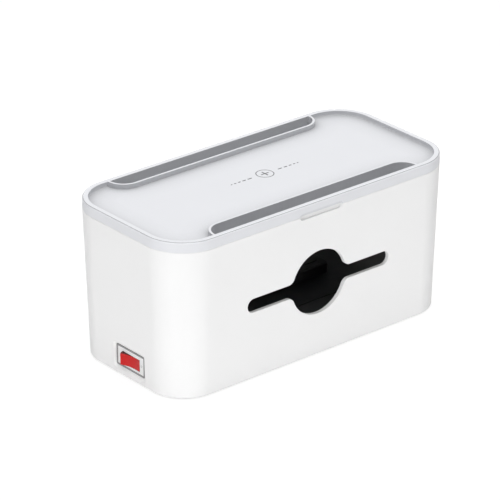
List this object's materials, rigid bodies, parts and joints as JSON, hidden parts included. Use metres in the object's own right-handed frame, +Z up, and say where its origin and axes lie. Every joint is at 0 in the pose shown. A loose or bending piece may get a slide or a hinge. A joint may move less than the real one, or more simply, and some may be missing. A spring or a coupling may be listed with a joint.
{
  "type": "cable management box",
  "caption": "Rounded white box with a built-in socket deck, cable openings in both long walls, a rocker switch and a lift-off charging lid with two device pockets.",
  "frame": {"origin": "centre of the footprint, on the surface that the feet stand on", "axes": "+X along the box, away from the end with the rocker switch; +Y away from the long wall that the picture shows; +Z up"},
  "size_m": [0.28, 0.135, 0.1308],
  "materials": {
    "shell_white": "satin",
    "lid_white": "satin",
    "deck_black": "satin",
    "outlet_black": "satin",
    "rubber_grey": "matt",
    "rubber_white": "matt",
    "screw_steel": "black plated",
    "contact_brass": "bright",
    "usb_steel": "bright",
    "board_green": "solder mask",
    "transformer_yellow": "taped",
    "bezel_grey": "fine grain",
    "plate_white": "satin",
    "housing_black": "matt",
    "rocker_red": "gloss",
    "cover_white": "fine grain",
    "coil_copper": "enamelled",
    "ferrite_grey": "matt"
  },
  "bodies": {
    "base": {"body_shell": "shell_white", "deck_screws": "screw_steel", "earth_bar": "contact_brass", "foot_1": "rubber_grey", "foot_2": "rubber_grey", "foot_3": "rubber_grey", "foot_4": "rubber_grey", "lead_gland": "rubber_white", "live_bar": "contact_brass", "neutral_bar": "contact_brass", "outlet_1": "outlet_black", "outlet_2": "outlet_black", "outlet_3": "outlet_black", "outlet_4": "outlet_black", "outlet_5": "outlet_black", "socket_deck": "deck_black", "switch_bezel": "bezel_grey", "switch_housing": "housing_black", "switch_plate": "plate_white", "switch_terminals": "contact_brass", "usb_board": "board_green", "usb_plate": "outlet_black", "usb_port_a_back": "usb_steel", "usb_port_a_front": "usb_steel", "usb_port_c": "usb_steel", "usb_transformer": "transformer_yellow"},
    "lid": {"lid": "lid_white", "charger_cover": "cover_white", "cover_screws": "screw_steel", "charging_coil": "coil_copper", "ferrite_disc": "ferrite_grey", "charger_board": "board_green", "charger_port": "usb_steel"},
    "rocker": {"rocker": "rocker_red"}
  },
  "joints": [
    {"name": "lid_lift", "type": "slide", "parent": "base", "child": "lid", "axis": [0, 0, 1], "range_m": [0, 0.1]},
    {"name": "rocker_tilt", "type": "hinge", "parent": "base", "child": "rocker", "pos_m": [-0.13179, -0.0051, 0.0153], "axis": [0, 0, -1], "range_deg": [0, 21.2]}
  ]
}
